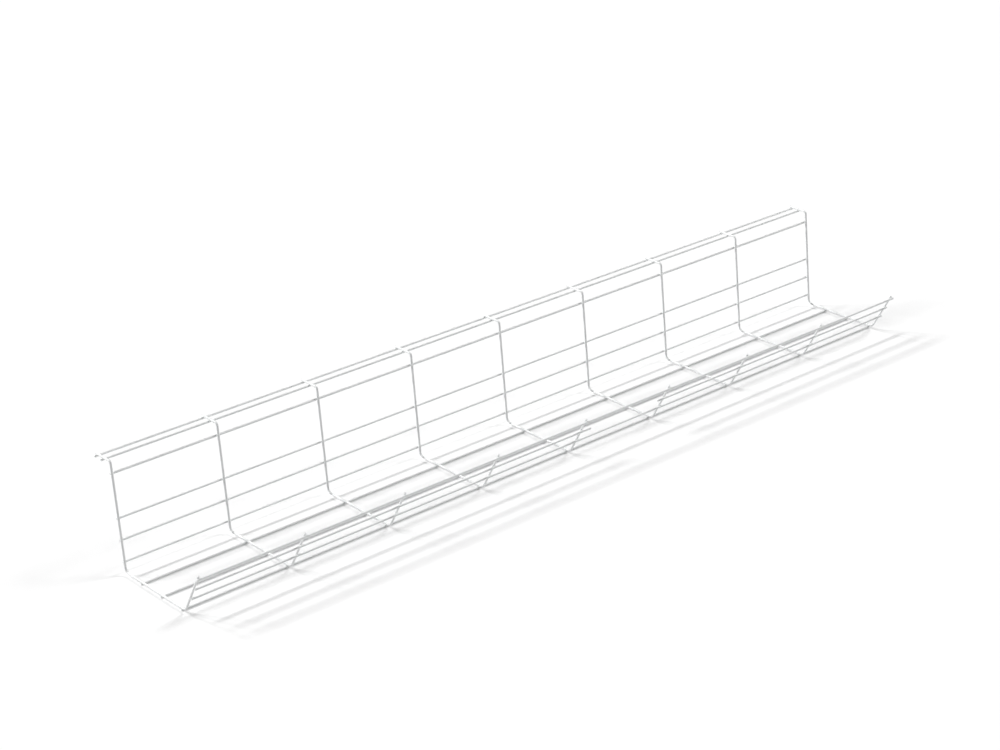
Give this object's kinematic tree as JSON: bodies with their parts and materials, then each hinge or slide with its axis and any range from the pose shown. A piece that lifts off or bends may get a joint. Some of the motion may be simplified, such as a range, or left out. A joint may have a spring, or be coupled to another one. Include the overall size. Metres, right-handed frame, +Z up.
{
  "type": "wire mesh cable basket",
  "caption": "Long open basket of welded, coated steel wire with a tall rear wall, a flanged top edge, a flat floor and a low slanted front lip with a cable outlet.",
  "frame": {"origin": "on the floor, under the middle of the bounding box", "axes": "+X along the basket, +Y towards the tall rear wall and its flange, +Z up"},
  "size_m": [1.207, 0.1982, 0.1448],
  "materials": {
    "coated_wire": "satin"
  },
  "bodies": {
    "root": {"cross_wire_1": "coated_wire", "cross_wire_2": "coated_wire", "cross_wire_3": "coated_wire", "cross_wire_4": "coated_wire", "cross_wire_5": "coated_wire", "cross_wire_6": "coated_wire", "cross_wire_7": "coated_wire", "cross_wire_8": "coated_wire", "cross_wire_9": "coated_wire", "flange_wire_outer": "coated_wire", "flange_wire_inner": "coated_wire", "wall_wire_1": "coated_wire", "wall_wire_2": "coated_wire", "wall_wire_3": "coated_wire", "wall_wire_4": "coated_wire", "floor_wire_1": "coated_wire", "floor_wire_2": "coated_wire", "floor_wire_3": "coated_wire", "lip_wire_low": "coated_wire", "lip_wire_mid_left": "coated_wire", "lip_wire_mid_right": "coated_wire", "lip_wire_top": "coated_wire"}
  },
  "joints": []
}
